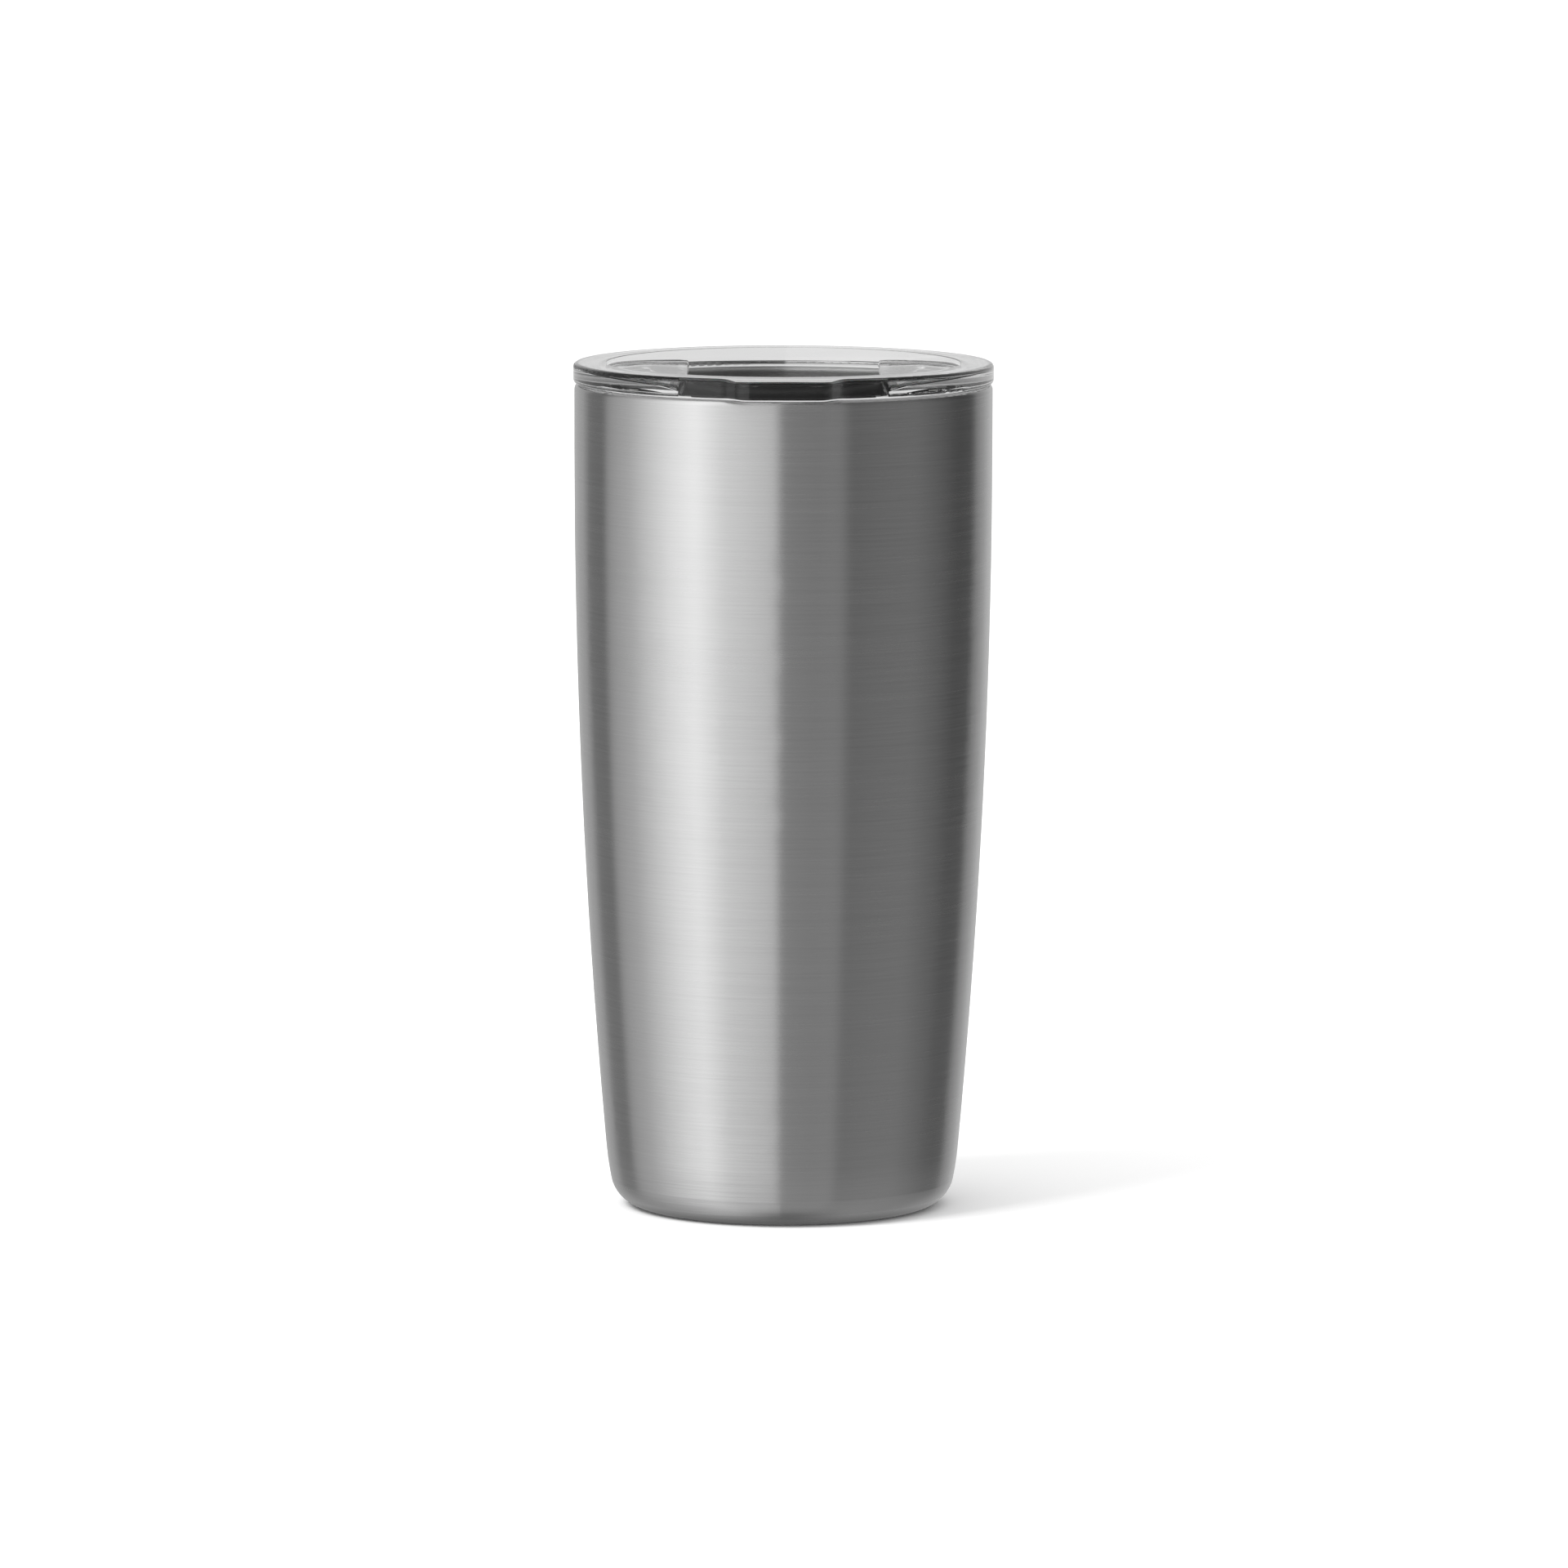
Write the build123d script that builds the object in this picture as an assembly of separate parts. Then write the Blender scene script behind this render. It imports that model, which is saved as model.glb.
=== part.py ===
"""Insulated tumbler with a clear press-in lid and a magnetic drink slider.

Units are millimetres. The origin is the centre of the ring that the tumbler
stands on, +Z is up, and the lid's pry tab points to -Y.
"""

from build123d import *
import math
import os

os.makedirs("parts", exist_ok=True)

# ---------------------------------------------------------------- driving sizes
# Overall
body_diameter = 73.0
overall_height = 148.3
wall_stack = 3.8  # from the body's outside to the mouth, vacuum space included

# Steel body
sheet = 0.5  # thickness of every deep-drawn steel wall
side_arc_radius = 1356.0  # the long, soft curve of the wall
straight_band = 10.1  # cylindrical stretch under the lip
heel_radius = 58.0  # blend between the wall and the foot
heel_top = 10.7
heel_bottom = 4.7
foot_land = 1.0  # flat ring that the tumbler stands on
return_radius = 0.8  # curl from the land up into the base recess
base_height = 3.6  # top of the welded base disc
lip_shoulder_radius = 1.2
lip_shoulder_angle = 30.0
lip_crown_radius = 0.6
lip_mouth_radius = 1.2
seam_offset = 1.9  # weld between liner and shell, outwards from the mouth
liner_floor = 10.0
liner_corner_radius = 9.0

# Base pieces
base_skirt = 2.0
cover_sheet = 0.4
cover_inset = 0.5  # the cover sits this far above the land
cover_gap = 0.25
cover_dome = 0.3
cover_dome_radius = 17.0
port_radius = 1.2
seal_radius = 3.0
seal_height = 0.9
getter_radius = 4.2
getter_thickness = 2.0
getter_offset = 13.0
clip_sheet = 0.3
clip_lip = 0.5
clip_slots = 3
clip_slot_width = 3.0

# Lid
lid_overhang = 0.2
flange_height = 3.7
flange_top_fillet = 0.8
flange_bottom_fillet = 0.9
seat_gap = 0.1
ring_width = 5.7
recess_draft = 23.0
rim_edge_fillet = 0.4
island_depth = 2.3  # at the channel; each island rises outwards from there
island_slope = 4.3
channel_depth = 6.2
channel_width = 33.4
channel_floor_fillet = 0.6
island_edge_fillet = 0.6
island_corner_fillet = 1.0  # between an island and the recess wall
lid_wall = 2.0
skirt_wall = 2.2
skirt_length = 12.9
skirt_clearance = 0.5
skirt_chamfer = 0.5
tab_width = 21.0
tab_tip_width = 15.0
tab_reach = 3.2
tab_tip_fillet = 3.0
tab_root_fillet = 4.0
hole_width = 20.0
hole_length = 8.0
hole_inset = 3.3  # from the channel's end wall to the drink hole
hole_edge_fillet = 0.5
vent_radius = 1.2
vent_gap = 4.3  # from the drink hole to the vent's centre

# Gasket
groove_depth = 1.2
groove_height = 3.2
groove_drop = 5.3  # from the flange's seat down to the groove
gasket_clearance = 0.08
gasket_gap = 0.1  # between the ribs and the mouth
gasket_root = 0.05  # how far the ribs' valleys stand out of the skirt

# Slider
slider_travel = 22.0
slider_side_clearance = 0.35
slider_end_clearance = 0.35
slider_lift = 0.1
slider_thickness = 2.9
slider_split = 1.4  # height of the lower half
slider_bottom_fillet = 0.9
slider_top_fillet = 0.6
slider_corner_radius = 3.0
dish_radius = 40.0
dish_depth = 0.6
grip_width = 30.0
grip_depth = 3.0  # of the curved thumb wall, front to back
grip_height = 2.1
grip_inset = 1.0  # from the slider's end to the thumb wall
grip_fillet = 0.5
grip_rib_radius = 0.35
grip_rib_width = 14.0
grip_rib_pitch = 1.1
grip_ribs = 4

# Magnets
magnet_radius = 3.0
lid_magnet_thickness = 2.0
slider_magnet_thickness = 1.5
magnet_clearance = 0.05
slider_magnet_x = 11.8
pocket_wall = 1.15
boss_wall = 1.2
pocket_roof = 0.3
magnet_stack_gap = 0.1

# --------------------------------------------------------------- derived values
body_radius = body_diameter / 2
mouth_radius = body_radius - wall_stack
lid_radius = body_radius + lid_overhang
lid_diameter = 2 * lid_radius
flange_bottom = overall_height - flange_height
lip_top = flange_bottom - seat_gap
lip_angle = math.radians(lip_shoulder_angle)
crown_rise = lip_crown_radius * (1 - math.sin(lip_angle))
shoulder_rise = lip_shoulder_radius * math.sin(lip_angle)
shoulder_base = lip_top - crown_rise - shoulder_rise
band_bottom = shoulder_base - straight_band
seam_radius = mouth_radius + seam_offset

# Centres and angles of the wall's arcs, from the straight band to the foot
side_centre = (body_radius - side_arc_radius, band_bottom)
side_angle = math.asin((band_bottom - heel_top) / side_arc_radius)
heel_centre = (
    side_centre[0] + (side_arc_radius - heel_radius) * math.cos(side_angle),
    side_centre[1] - (side_arc_radius - heel_radius) * math.sin(side_angle),
)
heel_angle = math.asin((heel_centre[1] - heel_bottom) / heel_radius)
foot_radius = heel_bottom / (1 - math.sin(heel_angle))
foot_centre = (
    heel_centre[0] + (heel_radius - foot_radius) * math.cos(heel_angle),
    foot_radius,
)
land_outer = foot_centre[0]
land_inner = land_outer - foot_land
base_radius = land_inner - return_radius

# Lid levels and radii
recess_radius = lid_radius - ring_width
island_top = overall_height - island_depth
channel_floor = overall_height - channel_depth
draft = math.tan(math.radians(recess_draft))
channel_end_radius = recess_radius - channel_depth * draft
plate_bottom = channel_floor - lid_wall
island_roof = island_top - lid_wall
skirt_outer = mouth_radius - skirt_clearance
skirt_inner = skirt_outer - skirt_wall
skirt_bottom = flange_bottom - skirt_length
groove_top = flange_bottom - groove_drop
groove_bottom = groove_top - groove_height
channel_half = channel_width / 2
hole_y = channel_end_radius - hole_inset - hole_length / 2
vent_y = hole_y - hole_length / 2 - vent_gap

# Slider
slider_half_width = channel_half - slider_side_clearance
slider_end_radius = channel_end_radius - channel_floor_fillet - slider_end_clearance
slider_bottom = channel_floor + slider_lift
slider_top_z = slider_bottom + slider_thickness
slider_seam = slider_bottom + slider_split
slider_y = -slider_travel / 2

# Magnets
pocket_radius = magnet_radius + magnet_clearance
boss_radius = pocket_radius + boss_wall
lid_magnet_x = channel_half + pocket_wall + pocket_radius
lid_magnet_top = island_roof - pocket_roof
lid_magnet_bottom = lid_magnet_top - lid_magnet_thickness
cover_top = lid_magnet_bottom - magnet_stack_gap
slider_magnet_bottom = slider_seam - slider_magnet_thickness / 2
slider_magnet_top = slider_seam + slider_magnet_thickness / 2


# ---------------------------------------------------------------------- helpers
def point(r, z):
    """A point of a section, drawn in the XZ plane."""
    return (r, 0, z)


def polar(centre, radius, angle):
    return (
        centre[0] + radius * math.cos(angle),
        centre[1] + radius * math.sin(angle),
    )


def line(start, end):
    return Line(point(*start), point(*end))


def arc(centre, radius, start, end):
    """An arc about a centre between two angles in radians."""
    first = polar(centre, radius, start)
    middle = polar(centre, radius, (start + end) / 2)
    last = polar(centre, radius, end)
    return ThreePointArc(point(*first), point(*middle), point(*last))


def turned(edges):
    """A solid of revolution about Z from the closed outline of its section."""
    return revolve(make_face(Curve() + edges), Axis.Z, 360)


def turned_outline(corners):
    """A solid of revolution whose section has straight sides only."""
    closed = corners + corners[:1]
    return turned([line(a, b) for a, b in zip(closed, closed[1:])])


def disc(radius, bottom, top, x=0.0, y=0.0):
    align = (Align.CENTER, Align.CENTER, Align.MIN)
    return Pos(x, y, bottom) * Cylinder(radius, top - bottom, align=align)


def block(x_size, y_size, bottom, top, x=0.0, y=0.0):
    align = (Align.CENTER, Align.CENTER, Align.MIN)
    return Pos(x, y, bottom) * Box(x_size, y_size, top - bottom, align=align)


def frustum(bottom_radius, top_radius, bottom, top):
    align = (Align.CENTER, Align.CENTER, Align.MIN)
    cone = Cone(bottom_radius, top_radius, top - bottom, align=align)
    return Pos(0, 0, bottom) * cone


def edges_at(shape, z, tolerance=1e-3):
    """The edges that lie wholly in the plane at height z."""
    found = []
    for edge in shape.edges():
        box = edge.bounding_box()
        if abs(box.min.Z - z) < tolerance and abs(box.max.Z - z) < tolerance:
            found.append(edge)
    return found


def edges_between(shape, low, high, tolerance=1e-3):
    """The edges that lie wholly between two heights, with some part clear of both."""
    found = []
    for edge in shape.edges():
        box = edge.bounding_box()
        inside = box.min.Z > low - tolerance and box.max.Z < high - tolerance
        if inside and box.max.Z > low + tolerance:
            found.append(edge)
    return found


# -------------------------------------------------------------------- steel cup
def shell_path(inset):
    """The shell's outside, moved inwards by inset, from the weld to the recess."""
    shoulder = (body_radius - lip_shoulder_radius, shoulder_base)
    crown = polar(shoulder, lip_shoulder_radius - lip_crown_radius, lip_angle)
    curl = (land_inner, return_radius)
    right = math.pi / 2
    return [
        line((seam_radius, lip_top - inset), (crown[0], lip_top - inset)),
        arc(crown, lip_crown_radius - inset, right, lip_angle),
        arc(shoulder, lip_shoulder_radius - inset, lip_angle, 0),
        line((body_radius - inset, shoulder_base), (body_radius - inset, band_bottom)),
        arc(side_centre, side_arc_radius - inset, 0, -side_angle),
        arc(heel_centre, heel_radius - inset, -side_angle, -heel_angle),
        arc(foot_centre, foot_radius - inset, -heel_angle, -right),
        line((land_outer, inset), (land_inner, inset)),
        arc(curl, return_radius - inset, -right, -2 * right),
        line((base_radius + inset, return_radius), (base_radius + inset, base_height)),
    ]


def make_outer_shell():
    """Brushed wall: lip, band, long curved side, heel, foot and base recess."""
    return turned(
        shell_path(0)
        + [line((base_radius, base_height), (base_radius + sheet, base_height))]
        + shell_path(sheet)[::-1]
        + [line((seam_radius, lip_top - sheet), (seam_radius, lip_top))]
    )


def liner_path(back):
    """The liner's wet face, moved back into the vacuum space by back."""
    lip = (mouth_radius + lip_mouth_radius, lip_top - lip_mouth_radius)
    radius = mouth_radius + back
    side = side_arc_radius - wall_stack + back
    corner = liner_corner_radius + back
    corner_z = liner_floor + liner_corner_radius
    reach = side - corner
    corner_angle = math.asin((band_bottom - corner_z) / reach)
    corner_centre = polar(side_centre, reach, -corner_angle)
    right = math.pi / 2
    return [
        line((seam_radius, lip_top - back), (lip[0], lip_top - back)),
        arc(lip, lip_mouth_radius - back, right, 2 * right),
        line((radius, lip[1]), (radius, band_bottom)),
        arc(side_centre, side, 0, -corner_angle),
        arc(corner_centre, corner, -corner_angle, -right),
        line((corner_centre[0], liner_floor - back), (0, liner_floor - back)),
    ]


def make_inner_liner():
    """Drawn steel cup that holds the drink, welded to the shell at the lip."""
    return turned(
        liner_path(0)
        + [line((0, liner_floor), (0, liner_floor - sheet))]
        + liner_path(sheet)[::-1]
        + [line((seam_radius, lip_top - sheet), (seam_radius, lip_top))]
    )


def make_outer_base():
    """Disc with a turned-down edge that closes the vacuum space, with its port."""
    underside = base_height - sheet
    return turned_outline(
        [
            (port_radius, base_height),
            (base_radius, base_height),
            (base_radius, base_height - base_skirt),
            (base_radius - sheet, base_height - base_skirt),
            (base_radius - sheet, underside),
            (port_radius, underside),
        ]
    )


def make_base_cover():
    """Thin pressed cap over the port, with a shallow dome in its middle."""
    rim = base_radius - cover_gap
    low = cover_inset
    high = low + cover_sheet
    slope = 2 * cover_dome
    return turned_outline(
        [
            (0, low + cover_dome),
            (cover_dome_radius - slope, low + cover_dome),
            (cover_dome_radius, low),
            (rim, low),
            (rim, base_height - base_skirt),
            (rim - cover_sheet, base_height - base_skirt),
            (rim - cover_sheet, high),
            (cover_dome_radius, high),
            (cover_dome_radius - slope, high + cover_dome),
            (0, high + cover_dome),
        ]
    )


def make_vacuum_port_seal():
    """Solder bead under the port, with the plug that fills it."""
    underside = base_height - sheet
    bead = disc(seal_radius, underside - seal_height, underside)
    bead = fillet(edges_at(bead, underside - seal_height), seal_height * 0.7)
    return bead + disc(port_radius, underside, base_height)


def make_getter_pill():
    bottom = base_height + clip_sheet
    pill = disc(getter_radius, bottom, bottom + getter_thickness, getter_offset)
    return chamfer(edges_at(pill, bottom + getter_thickness), clip_sheet)


def make_getter_clip():
    """Small tray with slotted sides that holds the getter on the base disc."""
    inner = getter_radius + magnet_clearance
    outer = inner + clip_sheet
    top = base_height + clip_sheet + getter_thickness - clip_lip
    tray = disc(outer, base_height, top, getter_offset)
    tray -= disc(inner, base_height + clip_sheet, top, getter_offset)
    for turn in range(clip_slots):
        slot = block(outer, clip_slot_width, base_height + clip_sheet, top, outer)
        tray -= Pos(getter_offset, 0, 0) * Rot(0, 0, turn * 360 / clip_slots) * slot
    return tray


# -------------------------------------------------------------------------- lid
def make_flange():
    """Flat ring of the lid with its pry tab, rounded above and below."""
    outline = Circle(lid_radius)
    root_y = -math.sqrt(lid_radius**2 - (tab_width / 2) ** 2)
    tip_y = -(lid_radius + tab_reach)
    half, tip = tab_width / 2, tab_tip_width / 2
    corners = [(-half, root_y), (-tip, tip_y), (tip, tip_y), (half, root_y), (half, 0)]
    tab = make_face(Polyline(*corners, (-half, 0), close=True))
    outline += tab
    tips = [v for v in outline.vertices() if v.Y < tip_y + 0.01]
    outline = fillet(tips, tab_tip_fillet)
    roots = [v for v in outline.vertices() if abs(v.Y - root_y) < 0.01]
    outline = fillet(roots, tab_root_fillet)
    flange = Pos(0, 0, flange_bottom) * extrude(outline, flange_height)
    flange = fillet(edges_at(flange, overall_height), flange_top_fillet)
    return fillet(edges_at(flange, flange_bottom), flange_bottom_fillet)


def recess_at(depth):
    return recess_radius - depth * draft


def magnet_places():
    """Name and place of each lid magnet: the slider parks beside a pair."""
    places = {}
    for state, y in (("open", slider_y), ("closed", -slider_y)):
        for side, x in (("left", -lid_magnet_x), ("right", lid_magnet_x)):
            places[f"{state}_{side}"] = (x, y)
    return places


def make_island_slope(side):
    """Wedge on an island, from the channel outwards and upwards."""
    rise = lid_radius * math.tan(math.radians(island_slope))
    near, far = side * channel_half, side * (channel_half + lid_radius)
    corners = [point(near, island_top), point(far, island_top), point(far, island_top + rise)]
    wedge = make_face(Polyline(*corners, close=True))
    return extrude(wedge, lid_diameter / 2, dir=(0, 1, 0), both=True)


def hole_edges(lid, z):
    """The edges of the drink hole at height z."""
    found = []
    for edge in edges_at(lid, z):
        middle = edge.center()
        if abs(middle.Y - hole_y) < hole_length / 2 + hole_edge_fillet:
            if abs(middle.X) < hole_width / 2 + hole_edge_fillet:
                found.append(edge)
    return found


def make_lid_body():
    """Clear moulding: flange, skirt, recess, islands, channel and pockets."""
    lid = make_flange()
    skirt = disc(skirt_outer, skirt_bottom, flange_bottom + lid_wall)
    lid += chamfer(edges_at(skirt, skirt_bottom), skirt_chamfer)

    # The recess narrows downwards, and the channel goes on below the islands
    recess = frustum(channel_end_radius, recess_radius, channel_floor, overall_height)
    for side in (-1, 1):
        middle = side * (channel_half + lid_radius / 2)
        recess -= block(lid_radius, lid_diameter, channel_floor, island_top, middle)
        recess -= make_island_slope(side)
    bends = [e for e in edges_between(recess, island_top, overall_height) if e.geom_type != GeomType.LINE]
    recess = fillet(bends, island_corner_fillet)
    lips = [e for e in edges_at(recess, island_top) if e.geom_type == GeomType.LINE]
    recess = fillet(lips, island_edge_fillet)
    lid -= fillet(edges_at(recess, channel_floor), channel_floor_fillet)

    # The underside is hollow up to the channel's plate, and up into each island
    hollow = disc(skirt_inner, skirt_bottom, island_roof)
    ribs = 2 * (channel_half + lid_wall)
    hollow -= block(ribs, lid_diameter, plate_bottom, island_roof)
    lid -= hollow
    for x, y in magnet_places().values():
        lid += disc(boss_radius, plate_bottom, island_roof, x, y)
        lid -= disc(pocket_radius, plate_bottom, lid_magnet_top, x, y)

    # Drink hole, vent and gasket groove
    slot = SlotOverall(hole_width, hole_length)
    lid -= Pos(0, hole_y, plate_bottom) * extrude(slot, lid_wall)
    lid -= disc(vent_radius, plate_bottom, channel_floor, 0, vent_y)
    groove = disc(skirt_outer + 1, groove_bottom, groove_top)
    groove -= disc(skirt_outer - groove_depth, groove_bottom, groove_top)
    lid -= groove

    # Softened edges: the drink hole above and below, and the recess rim
    for level in (plate_bottom, channel_floor):
        lid = fillet(hole_edges(lid, level), hole_edge_fillet)
    rim = [
        edge
        for edge in edges_at(lid, overall_height)
        if abs(edge.bounding_box().max.X - recess_radius) < 0.01
    ]
    return fillet(rim, rim_edge_fillet)


def make_magnet_cover(x, y):
    """Welded disc that closes a magnet pocket from below."""
    return disc(pocket_radius - magnet_clearance, plate_bottom, cover_top, x, y)


def make_lid_magnet(x, y):
    magnet = disc(magnet_radius, lid_magnet_bottom, lid_magnet_top, x, y)
    return chamfer(magnet.edges(), magnet_clearance * 3)


def make_lid_gasket():
    """Silicone ring with two soft ribs that press on the mouth."""
    root = skirt_outer - groove_depth + gasket_clearance
    valley = skirt_outer + gasket_root
    crest = mouth_radius - gasket_gap
    low = groove_bottom + gasket_clearance
    high = groove_top - gasket_clearance
    step = (high - low) / 4
    levels = [low + step * count for count in range(5)]

    def rib(start, middle, end):
        return ThreePointArc(
            point(valley, start), point(crest, middle), point(valley, end)
        )

    return turned(
        [
            line((root, low), (valley, low)),
            rib(levels[0], levels[1], levels[2]),
            rib(levels[2], levels[3], levels[4]),
            line((valley, high), (root, high)),
            line((root, high), (root, low)),
        ]
    )


# ----------------------------------------------------------------------- slider
def slider_outline():
    """Channel-wide plate whose ends follow the recess wall at both stops."""
    bow = slider_end_radius
    near = Pos(0, slider_travel / 2) * Circle(bow)
    far = Pos(0, -slider_travel / 2) * Circle(bow)
    strip = Rectangle(2 * slider_half_width, 2 * bow)
    outline = near & far & strip
    return fillet(outline.vertices(), slider_corner_radius)


def make_slider_base():
    """Lower half of the slider with the floors of its magnet pockets."""
    base = Pos(0, slider_y, slider_bottom) * extrude(slider_outline(), slider_split)
    base = fillet(edges_at(base, slider_bottom), slider_bottom_fillet)
    for x in (-slider_magnet_x, slider_magnet_x):
        base -= disc(pocket_radius, slider_magnet_bottom, slider_seam, x, slider_y)
    return base


def make_thumb_wall():
    """Raised wall that follows the slider's near end and takes the thumb."""
    outer = slider_end_radius - grip_inset
    strip = Pos(0, -outer / 2) * Rectangle(grip_width, outer)
    outline = (Circle(outer) - Circle(outer - grip_depth)) & strip
    wall = extrude(outline, slider_top_fillet + grip_height)
    wall = Pos(0, 0, slider_top_z - slider_top_fillet) * wall
    return fillet(edges_at(wall, slider_top_z + grip_height), grip_fillet)


def make_grip_ribs():
    """Fine ribs across the slider, behind the dish, half sunk in its top."""
    ribs = Part()
    start = slider_y + math.sqrt(2 * dish_radius * dish_depth) + grip_rib_pitch
    for count in range(grip_ribs):
        rib = Rot(0, 90, 0) * Cylinder(grip_rib_radius, grip_rib_width)
        rib = fillet(rib.edges(), grip_rib_radius * 0.8)
        ribs += Pos(0, start + count * grip_rib_pitch, slider_top_z) * rib
    return ribs


def make_slider_top():
    """Upper half of the slider, with a thumb dish, a raised wall and ribs."""
    height = slider_thickness - slider_split
    top = Pos(0, slider_y, slider_seam) * extrude(slider_outline(), height)
    top = fillet(edges_at(top, slider_top_z), slider_top_fillet)
    for x in (-slider_magnet_x, slider_magnet_x):
        top -= disc(pocket_radius, slider_seam, slider_magnet_top, x, slider_y)
    dish_z = slider_top_z + dish_radius - dish_depth
    top -= Pos(0, slider_y, dish_z) * Sphere(dish_radius)
    return top + make_thumb_wall() + make_grip_ribs()


def make_slider_magnet(x):
    magnet = disc(magnet_radius, slider_magnet_bottom, slider_magnet_top, x, slider_y)
    return chamfer(magnet.edges(), magnet_clearance * 3)


# ------------------------------------------------------------------------ nodes
nodes = {
    "outer_shell": make_outer_shell(),
    "inner_liner": make_inner_liner(),
    "outer_base": make_outer_base(),
    "base_cover": make_base_cover(),
    "vacuum_port_seal": make_vacuum_port_seal(),
    "getter_pill": make_getter_pill(),
    "getter_clip": make_getter_clip(),
    "lid_body": make_lid_body(),
    "lid_gasket": make_lid_gasket(),
    "slider_top": make_slider_top(),
    "slider_base": make_slider_base(),
    "slider_magnet_left": make_slider_magnet(-slider_magnet_x),
    "slider_magnet_right": make_slider_magnet(slider_magnet_x),
}
for place, (magnet_x, magnet_y) in magnet_places().items():
    nodes[f"lid_magnet_{place}"] = make_lid_magnet(magnet_x, magnet_y)
    nodes[f"magnet_cover_{place}"] = make_magnet_cover(magnet_x, magnet_y)

for name, shape in nodes.items():
    export_step(shape, f"parts/{name}.step")
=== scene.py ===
"""Looks of the insulated tumbler: materials, studio, camera and finer meshes around the CAD frame."""

import math

import bmesh
import bpy
from mathutils import Matrix, Vector


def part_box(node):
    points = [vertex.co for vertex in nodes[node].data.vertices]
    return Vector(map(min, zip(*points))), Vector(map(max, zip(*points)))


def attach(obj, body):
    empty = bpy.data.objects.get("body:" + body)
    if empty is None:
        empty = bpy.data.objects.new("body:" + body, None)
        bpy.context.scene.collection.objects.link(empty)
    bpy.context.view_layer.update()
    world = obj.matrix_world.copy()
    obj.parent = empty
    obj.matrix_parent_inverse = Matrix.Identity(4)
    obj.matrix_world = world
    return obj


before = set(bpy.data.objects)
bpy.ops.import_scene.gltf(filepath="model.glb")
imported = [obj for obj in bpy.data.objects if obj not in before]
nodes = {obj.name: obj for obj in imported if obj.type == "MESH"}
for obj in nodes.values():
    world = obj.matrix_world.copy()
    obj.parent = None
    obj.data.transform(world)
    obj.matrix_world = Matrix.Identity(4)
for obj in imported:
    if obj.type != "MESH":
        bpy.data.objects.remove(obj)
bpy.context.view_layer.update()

MM = 0.001

# ------------------------------------------------------------------ driving values
DOME_RISE = 0.3 * MM  # how far the middle of the base cover is pressed in
WELD_BEAD = 0.07 * MM  # radius of the bead on the lip
WELD_SWELL = 0.25  # how much the bead swells and thins, as a share of its radius
WELD_SWELLS = 260  # how many times it swells, once round the lip
LINE_BEAD = 0.16 * MM  # radius of the lines rolled into the cover
LINE_PLACES = (0.22, 0.45, 0.68)  # where the cover's lines run, as shares of its radius
PAINTED_SHADE_HEIGHT = 2.0 * MM  # the lowest stretch of the wall, which gets painted shade for the shadowed floor it mirrors
PAINTED_SHADE_FULL_SHARE = 0.15  # the share of that stretch that gets the painted shade in full
PAINTED_SHADE_TONE = 0.24  # how much of the steel's tone the painted shade leaves where the wall meets the floor
STREAK_TONES = (0.94, 1.045)  # darkest and lightest streaks, as shares of the steel's tone
STREAK_ROUGHNESS = 0.03  # how far a streak's roughness strays, either way
BROAD_ROUGHNESS = 0.012  # the same for broad, soft patches
NOISE_SPAN = (0.3, 0.7)  # a noise texture is nearly always between these

# ------------------------------------------------------------------ places read from the frame
lip_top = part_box("inner_liner")[1][2]
seam_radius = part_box("inner_liner")[1][0]  # the liner's lip ends at the weld
cover_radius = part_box("base_cover")[1][0]
dome_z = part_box("base_cover")[0][2] + DOME_RISE  # the pressed dome's flat underside


# ------------------------------------------------------------------ node helpers
def grey(value):
    return (value, value, value)


def solid(color):
    """A colour with its alpha, as colour sockets take it."""
    return (*color, 1.0)


class Nodes:
    """A node tree with short calls. A source is an output to link, or a plain value to set."""

    def __init__(self, tree):
        self.tree = tree

    def feed(self, source, socket):
        if isinstance(source, bpy.types.NodeSocket):
            self.tree.links.new(source, socket)
        else:
            socket.default_value = source

    def add(self, kind, *sources, **settings):
        """Adds a node with these settings, and feeds the sources to its inputs in order."""
        node = self.tree.nodes.new(kind)
        for name, value in settings.items():
            setattr(node, name, value)
        for socket, source in zip(node.inputs, sources):
            self.feed(source, socket)
        return node

    def feed_named(self, node, **sources):
        """Feeds inputs by their names, written with _ for each space."""
        for name, source in sources.items():
            self.feed(source, node.inputs[name.replace("_", " ")])

    def math(self, operation, *sources, clamp=False):
        return self.add("ShaderNodeMath", *sources, operation=operation, use_clamp=clamp).outputs["Value"]

    def ranged(self, source, low, high, start, end, curve="LINEAR"):
        """Goes from low to high as source goes from start to end, and stays there outside."""
        node = self.add("ShaderNodeMapRange", interpolation_type=curve)
        self.feed_named(node, Value=source, From_Min=start, From_Max=end, To_Min=low, To_Max=high)
        return node.outputs["Result"]

    def blend(self, share, first, second):
        """The colour that goes from first to second as share goes from 0 to 1."""
        node = self.add("ShaderNodeMix", data_type="RGBA")
        self.feed_named(node, Factor=share, A=first, B=second)
        return node.outputs["Result"]


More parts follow.
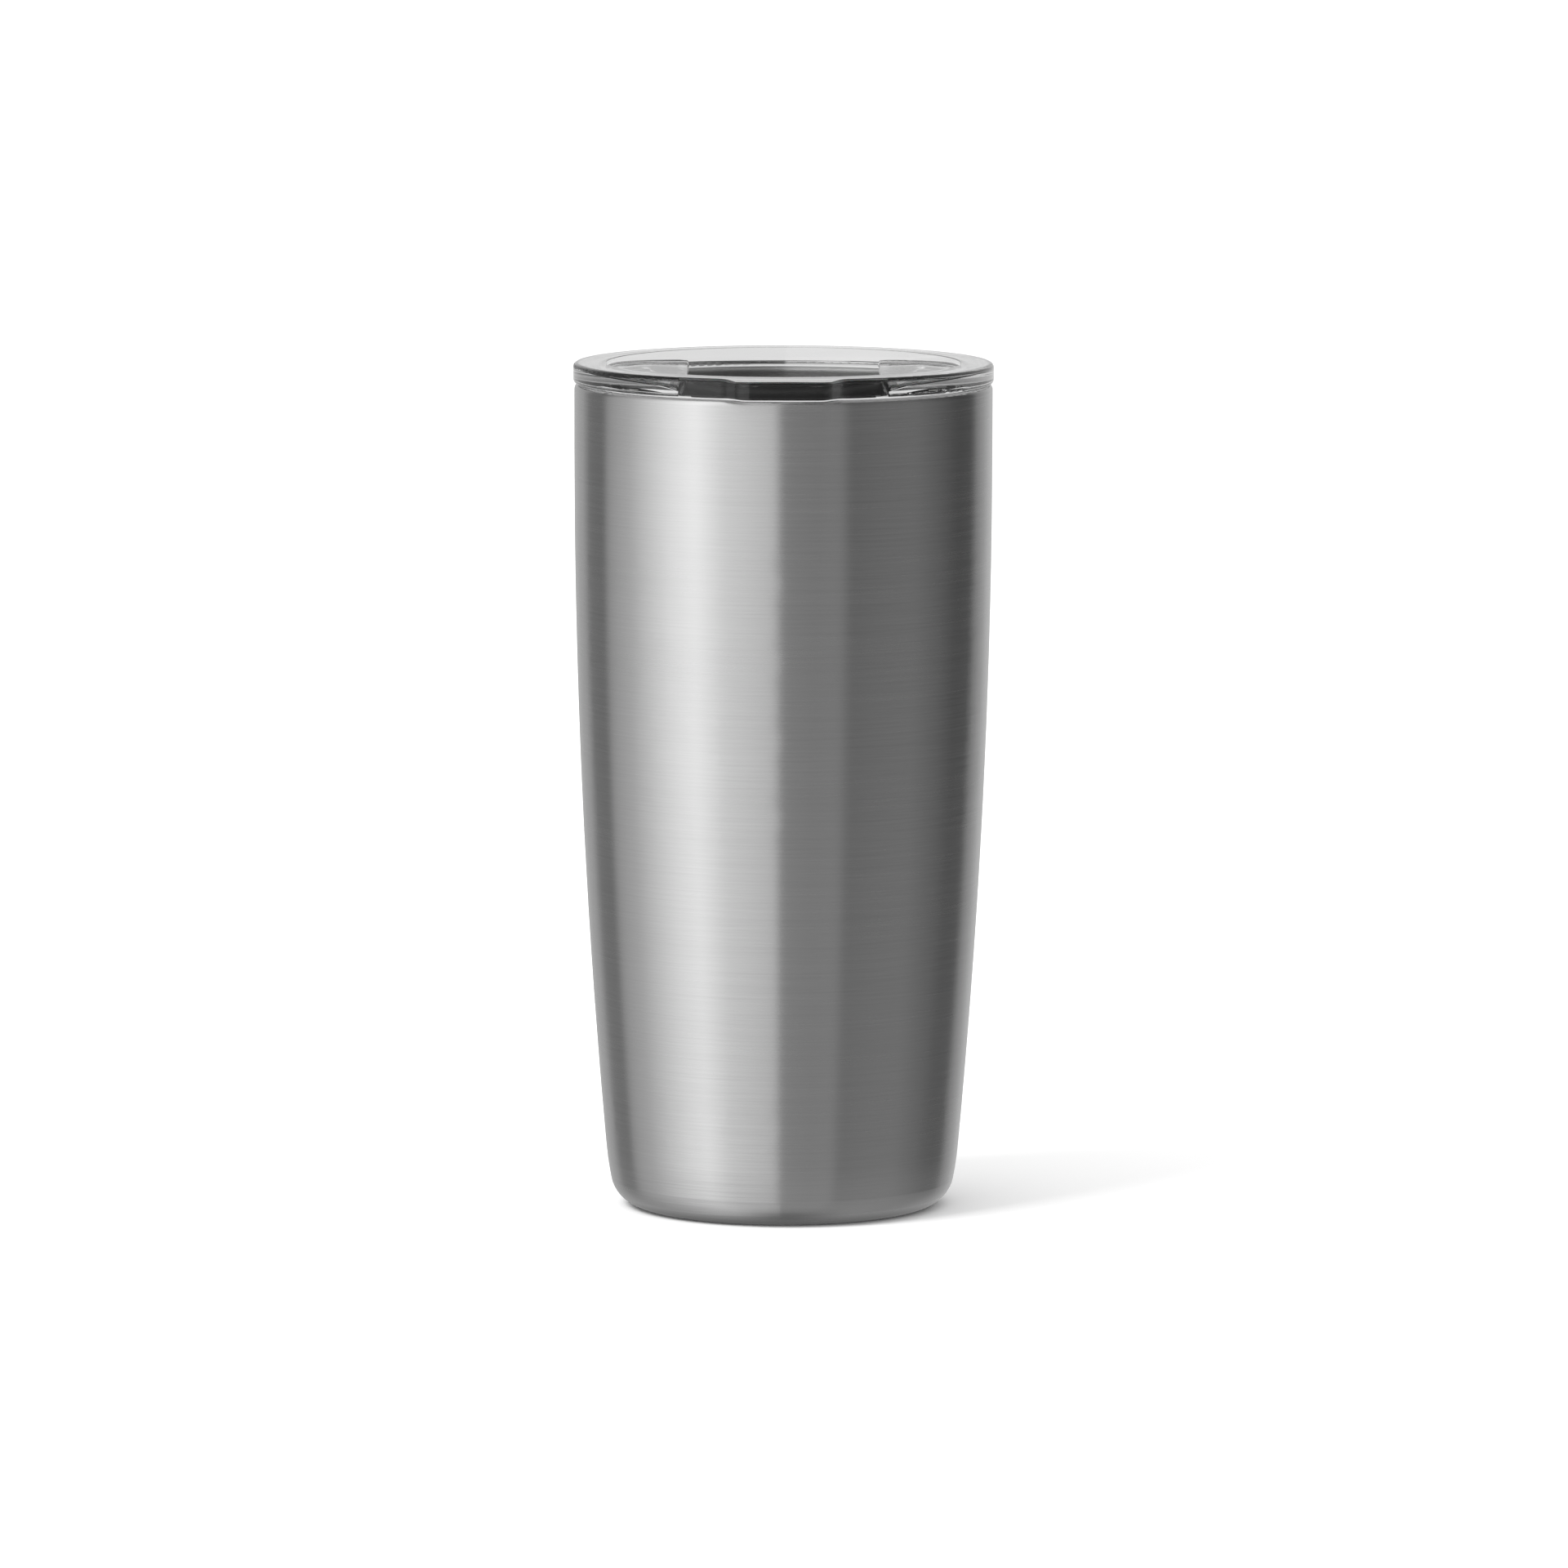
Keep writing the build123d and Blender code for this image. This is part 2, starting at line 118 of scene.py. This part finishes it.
class Material(Nodes):
    """A Principled material with short calls for procedural textures."""

    def __init__(self, name, color, metallic, roughness):
        self.data = bpy.data.materials.new(name)
        self.data.use_nodes = True
        super().__init__(self.data.node_tree)
        self.shader = self.tree.nodes["Principled BSDF"]
        self.set("Base Color", solid(color))
        self.set("Metallic", metallic)
        self.set("Roughness", roughness)

    def set(self, socket, source):
        self.feed(source, self.shader.inputs[socket])

    def place(self, scale=grey(1.0)):
        """Object coordinates, in metres, scaled by an amount on each axis."""
        coordinates = self.add("ShaderNodeTexCoord").outputs["Object"]
        return self.add("ShaderNodeVectorMath", coordinates, scale, operation="MULTIPLY").outputs["Vector"]

    def noise(self, scale, detail, roughness):
        """Noise whose scale is in cycles per metre on each axis."""
        node = self.add("ShaderNodeTexNoise")
        self.feed_named(node, Vector=self.place(scale), Scale=1.0, Detail=detail, Roughness=roughness)
        return node.outputs["Fac"]

    def opened(self, noise, low=0.0, high=1.0):
        """Noise opened out, so that what it mostly takes runs from low to high."""
        return self.ranged(noise, low, high, *NOISE_SPAN)

    def tinted(self, share, dark, light):
        """The shader's colour goes from dark to light as share goes from 0 to 1."""
        color = self.blend(share, solid(dark), solid(light))
        self.set("Base Color", color)
        return color

    def darkened(self, color, share):
        """The shader's colour is color times share."""
        node = self.add("ShaderNodeVectorMath", operation="SCALE")
        self.feed(color, node.inputs[0])
        self.feed(share, node.inputs["Scale"])
        self.set("Base Color", node.outputs["Vector"])

    def bump(self, height, strength, distance):
        node = self.add("ShaderNodeBump")
        self.feed_named(node, Height=height, Strength=strength, Distance=distance)
        self.set("Normal", node.outputs["Normal"])


# ------------------------------------------------------------------ materials
def make_brushed_steel(name, tone, roughness, grain, anisotropy=1.0, painted_shade_metres=0.0):
    """Steel with a fine grain that runs round the body: long streaks, thin in Z.

    grain is how strongly the streaks stand out in relief. The lowest stretch of the wall, as high
    as the last argument, is darkened towards the floor: painted shade for the shadowed floor it mirrors.
    """
    steel = Material(name, grey(tone), 1.0, roughness)
    streaks = steel.noise((45.0, 45.0, 2700.0), 6.0, 0.7)
    broad = steel.noise((14.0, 14.0, 160.0), 2.0, 0.5)
    dark, light = (grey(tone * share) for share in STREAK_TONES)
    tint = steel.tinted(steel.opened(streaks), dark, light)
    # painted shade: the colour darkens towards the floor, standing in for the shadowed floor and contact
    # shadow mirrored at the foot
    if painted_shade_metres:
        height = steel.add("ShaderNodeSeparateXYZ", steel.place()).outputs["Z"]
        steel.darkened(tint, steel.ranged(height, PAINTED_SHADE_TONE, 1.0, PAINTED_SHADE_FULL_SHARE * painted_shade_metres, painted_shade_metres))
    fine = steel.opened(streaks, roughness - STREAK_ROUGHNESS, roughness + STREAK_ROUGHNESS)
    steel.set("Roughness", steel.math("ADD", fine, steel.opened(broad, -BROAD_ROUGHNESS, BROAD_ROUGHNESS)))
    steel.set("Anisotropic", anisotropy)
    steel.set("Anisotropic Rotation", 0.25)
    tangent = steel.add("ShaderNodeTangent", direction_type="RADIAL", axis="Z")
    steel.set("Tangent", tangent.outputs["Tangent"])
    steel.bump(streaks, grain, 0.02 * MM)
    return steel.data


def make_clear_plastic(name, tone=0.97, roughness=0.0):
    """Clear polished moulding with very faint flow lines."""
    clear = Material(name, grey(tone), 0.0, roughness)
    clear.set("Transmission Weight", 1.0)
    clear.set("IOR", 1.56)
    flow = clear.noise((60.0, 60.0, 240.0), 2.0, 0.4)
    clear.bump(flow, 0.012, 0.2 * MM)
    return clear.data


def make_slider_plastic():
    """Black moulded plastic with a fine spark-eroded texture."""
    black = Material("slider_black", grey(0.014), 0.0, 0.42)
    black.set("Specular IOR Level", 0.25)
    fine = black.noise(grey(4200.0), 3.0, 0.6)
    cloud = black.noise(grey(90.0), 2.0, 0.5)
    black.tinted(cloud, grey(0.010), grey(0.018))
    black.set("Roughness", black.opened(fine, 0.36, 0.50))
    black.bump(fine, 0.25, 0.04 * MM)
    return black.data


def make_silicone():
    """Translucent silicone, satin, a little cloudy in its tone."""
    soft = Material("silicone", grey(0.66), 0.0, 0.45)
    cloud = soft.noise(grey(130.0), 3.0, 0.5)
    soft.tinted(cloud, grey(0.60), grey(0.70))
    soft.set("Subsurface Weight", 0.3)
    soft.set("Subsurface Scale", 2.0 * MM)
    soft.bump(cloud, 0.05, 0.1 * MM)
    return soft.data


def make_magnet_plate():
    """Nickel plating, clouded by handling."""
    plate = Material("nickel_plate", (0.66, 0.65, 0.62), 1.0, 0.22)
    cloud = plate.noise(grey(500.0), 3.0, 0.5)
    plate.set("Roughness", plate.opened(cloud, 0.16, 0.30))
    plate.bump(cloud, 0.05, 0.03 * MM)
    return plate.data


def make_dull(name, dark, light, roughness, scale, metallic=0.0):
    """A plain rough surface, mottled from dark to light."""
    dull = Material(name, grey(dark), metallic, roughness)
    cloud = dull.noise(grey(scale), 4.0, 0.6)
    dull.tinted(dull.opened(cloud), grey(dark), grey(light))
    dull.bump(cloud, 0.2, 0.1 * MM)
    return dull.data


def wear(material, *names):
    """The named CAD nodes get this material."""
    for name in names:
        mesh = nodes[name].data
        mesh.materials.clear()
        mesh.materials.append(material)


def finish_nodes():
    # the outer shell gets painted shade at its foot, for the shadowed floor it mirrors
    brushed = make_brushed_steel("brushed_steel", tone=0.60, roughness=0.25, grain=0.5, painted_shade_metres=PAINTED_SHADE_HEIGHT)
    liner = make_brushed_steel("liner_steel", tone=0.74, roughness=0.34, grain=0.3, anisotropy=0.7)
    base = make_brushed_steel("base_steel", tone=0.55, roughness=0.34, grain=0.3, anisotropy=0.4)
    clear = make_clear_plastic("clear_plastic")
    cover = make_clear_plastic("cover_plastic", tone=0.95, roughness=0.15)
    wear(brushed, "outer_shell")
    wear(liner, "inner_liner")
    wear(base, "outer_base", "base_cover", "getter_clip")
    wear(clear, "lid_body")
    wear(make_silicone(), "lid_gasket")
    wear(make_slider_plastic(), "slider_top", "slider_base")
    solder = make_dull("port_solder", dark=0.05, light=0.09, roughness=0.3, scale=900.0)
    wear(solder, "vacuum_port_seal")
    getter = make_dull("getter", dark=0.10, light=0.16, roughness=0.7, scale=1500.0, metallic=0.6)
    wear(getter, "getter_pill")
    plate = make_magnet_plate()
    wear(plate, "slider_magnet_left", "slider_magnet_right")
    for name in nodes:
        if name.startswith("lid_magnet"):
            wear(plate, name)
        if name.startswith("magnet_cover"):
            wear(cover, name)


# ------------------------------------------------------------------ finer meshes
def add_ring(name, radius, z, tube, swell=0.0, swells=1, sides=8, steps=720):
    """A closed thin ring about Z whose tube swells and thins along its length."""
    shape = bmesh.new()
    rows = []
    for step in range(steps):
        turn = 2 * math.pi * step / steps
        bead = tube * (1 + swell * math.sin(swells * turn))
        row = []
        for side in range(sides):
            lean = 2 * math.pi * side / sides
            reach = radius + bead * math.cos(lean)
            place = (reach * math.cos(turn), reach * math.sin(turn), z + bead * math.sin(lean))
            row.append(shape.verts.new(place))
        rows.append(row)
    for row, after in zip(rows, rows[1:] + rows[:1]):
        for side in range(sides):
            beside = (side + 1) % sides
            shape.faces.new((row[side], after[side], after[beside], row[beside]))
    bmesh.ops.recalc_face_normals(shape, faces=shape.faces)
    mesh = bpy.data.meshes.new(name)
    shape.to_mesh(mesh)
    shape.free()
    mesh.shade_smooth()
    ring = bpy.data.objects.new(name, mesh)
    bpy.context.scene.collection.objects.link(ring)
    return ring


def add_steel_details():
    """The weld bead on the lip, and three lines rolled into the base cover's dome."""
    weld = add_ring("lip_weld", seam_radius, lip_top, WELD_BEAD, WELD_SWELL, WELD_SWELLS)
    bead = make_dull("weld_steel", dark=0.34, light=0.50, roughness=0.35, scale=2500.0, metallic=1.0)
    weld.data.materials.append(bead)
    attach(weld, "cup")
    rolled = make_brushed_steel("rolled_line", tone=0.50, roughness=0.30, grain=0.3, anisotropy=0.4)
    for count, share in enumerate(LINE_PLACES, start=1):
        line = add_ring(f"cover_line_{count}", cover_radius * share, dome_z, LINE_BEAD)
        line.data.materials.append(rolled)
        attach(line, "cup")


# ------------------------------------------------------------------ studio
FLOOR_REACH = 30.0  # half the floor's width


def add_floor():
    """A very large pale floor, kept out of reflections and of what shows through the lid."""
    mesh = bpy.data.meshes.new("floor")
    corners = [(x * FLOOR_REACH, y * FLOOR_REACH, 0) for x, y in ((-1, -1), (1, -1), (1, 1), (-1, 1))]
    mesh.from_pydata(corners, [], [(0, 1, 2, 3)])
    floor = bpy.data.objects.new("floor", mesh)
    bpy.context.scene.collection.objects.link(floor)
    pale = Material("floor_paint", grey(0.9), 0.0, 0.9)
    pale.set("Specular IOR Level", 0.0)
    cloud = pale.noise(grey(3.0), 2.0, 0.5)
    pale.tinted(cloud, grey(0.895), grey(0.905))
    mesh.materials.append(pale.data)
    floor.visible_glossy = False
    floor.visible_transmission = False


# What the steel mirrors: (azimuth in degrees from the camera's side, right positive, radiance)
STUDIO = [
    # behind the object, on the left
    (-180, 0.55),
    (-146, 0.45),
    # a black card
    (-135, 0.21),
    (-119, 0.19),
    # a broad white card, brightest in its middle, with a sharp right edge
    (-113, 0.46),
    (-95, 0.66),
    (-64, 1.40),
    (-50, 1.62),
    (-33, 1.12),
    (-20, 1.00),
    (-3.4, 0.82),
    (-1.8, 0.30),
    # the dim room, in two steps
    (18, 0.25),
    (33, 0.27),
    (37, 0.13),
    (60, 0.17),
    (78, 0.19),
    (95, 0.13),
    (112, 0.06),
    (128, 0.07),
    # behind the object, on the right
    (136, 0.30),
    (156, 0.55),
    (180, 0.60),
]
STUDIO_PEAK = 2.0  # no card is brighter than this
LOW_RADIANCE = 0.44  # what the cards and gaps fade towards, near the floor
FADE = (-30.0, -6.0)  # elevations, in degrees, where the pattern is faint and full
FAINT = 0.32  # how much of the pattern is left below those elevations
UNDERSIDE = (-90.0, -62.0)  # elevations where the steel sees its own shadow, and no longer does
# What the clear pieces see, in the same form
CLEAR = [
    (-180, 0.80),
    (-140, 0.70),
    (-100, 0.45),
    (-60, 1.10),
    (-3, 0.90),
    (0, 0.30),
    (35, 0.25),
    (90, 0.40),
    (140, 0.85),
    (180, 0.80),
]
OVERHEAD = (20.0, 50.0)  # elevations, in degrees, where the ceiling starts and is at its darkest
CEILING = 0.60  # how much of the light the clear pieces still get from there
FLOOR_LIGHT = 1.24  # radiance of the white that lights the floor and every dull surface
WHITE = solid(grey(1.0))


class Studio(Nodes):
    """The world's light, by where a ray points and by what sent it."""

    def __init__(self):
        world = bpy.data.worlds.new("studio")
        bpy.context.scene.world = world
        world.use_nodes = True
        super().__init__(world.node_tree)
        self.tree.nodes.clear()
        toward = self.add("ShaderNodeTexCoord").outputs["Generated"]
        toward = self.add("ShaderNodeSeparateXYZ", toward).outputs
        azimuth = self.math("ARCTAN2", toward["X"], self.math("MULTIPLY", toward["Y"], -1.0))
        self.turn = self.ranged(azimuth, 0.0, 1.0, -math.pi, math.pi)
        self.rise = self.math("ARCSINE", toward["Z"])

    def by_rise(self, low, high, elevations):
        """Goes from low to high as a ray rises through a pair of elevations, in degrees."""
        start, end = (math.radians(angle) for angle in elevations)
        return self.ranged(self.rise, low, high, start, end, "SMOOTHSTEP")

    def cards(self, table):
        """Radiance by azimuth, as a share of the studio's peak."""
        ramp = self.add("ShaderNodeValToRGB", self.turn)
        while len(ramp.color_ramp.elements) < len(table):
            ramp.color_ramp.elements.new(1.0)
        for element, (angle, radiance) in zip(ramp.color_ramp.elements, table):
            element.position = (angle + 180) / 360
            element.color = solid(grey(radiance / STUDIO_PEAK))
        return ramp.outputs["Color"]

    def glow(self, color, strength):
        return self.add("ShaderNodeBackground", color, strength).outputs[0]

    def either(self, share, first, second):
        return self.add("ShaderNodeMixShader", share, first, second).outputs[0]

    def mirrored(self):
        """What the steel sees: the cards, fainter near the floor and dark straight below."""
        pattern = self.by_rise(FAINT, 1.0, FADE)
        color = self.blend(pattern, solid(grey(LOW_RADIANCE / STUDIO_PEAK)), self.cards(STUDIO))
        return self.glow(color, self.by_rise(0.0, STUDIO_PEAK, UNDERSIDE))

    def cleared(self):
        """What is seen in and through the clear pieces: cards under a darker ceiling."""
        return self.glow(self.cards(CLEAR), self.by_rise(STUDIO_PEAK, STUDIO_PEAK * CEILING, OVERHEAD))


def add_studio():
    """White all round, but for what the steel mirrors and what the clear pieces show."""
    studio = Studio()
    path = studio.add("ShaderNodeLightPath").outputs
    plain = studio.either(path["Is Diffuse Ray"], studio.glow(WHITE, 1.0), studio.glow(WHITE, FLOOR_LIGHT))
    seen = studio.either(path["Is Glossy Ray"], plain, studio.mirrored())
    through = studio.math("GREATER_THAN", path["Transmission Depth"], 0.5)
    sharp = studio.math("MAXIMUM", path["Is Singular Ray"], through)
    bent = studio.math("SUBTRACT", sharp, path["Is Camera Ray"], clamp=True)
    studio.add("ShaderNodeOutputWorld", studio.either(bent, seen, studio.cleared()))


def add_soft_light(name, place, target, size, power):
    """A square soft box that lights the floor from one side and isn't mirrored."""
    data = bpy.data.lights.new(name, "AREA")
    data.shape = "SQUARE"
    data.size = size
    data.energy = power
    light = bpy.data.objects.new(name, data)
    bpy.context.scene.collection.objects.link(light)
    light.location = place
    aim = Vector(target) - Vector(place)
    light.rotation_euler = aim.to_track_quat("-Z", "Y").to_euler()
    light.visible_glossy = False
    light.visible_camera = False
    light.visible_transmission = False


def add_camera():
    """Long lens, a little above the lid, looking down slightly."""
    distance = 1.9705
    height = 0.3121
    side = 0.2 * MM
    pitch = math.radians(6.885)
    roll = math.radians(0.10)
    data = bpy.data.cameras.new("camera")
    data.sensor_width = 36.0
    data.lens = 260.1
    data.clip_end = 100.0
    camera = bpy.data.objects.new("camera", data)
    bpy.context.scene.collection.objects.link(camera)
    turn = Matrix.Rotation(math.radians(90) - pitch, 4, "X") @ Matrix.Rotation(roll, 4, "Z")
    camera.matrix_world = Matrix.Translation((side, -distance, height)) @ turn
    bpy.context.scene.camera = camera


def build():
    """Everything that the frame's own meshes don't bring."""
    finish_nodes()
    add_steel_details()
    add_floor()
    add_studio()
    add_soft_light("key", place=(-1.2, -0.9, 1.6), target=(0, 0, 0.05), size=0.9, power=32.0)
    add_camera()
    bpy.context.scene.view_settings.view_transform = "Standard"


build()
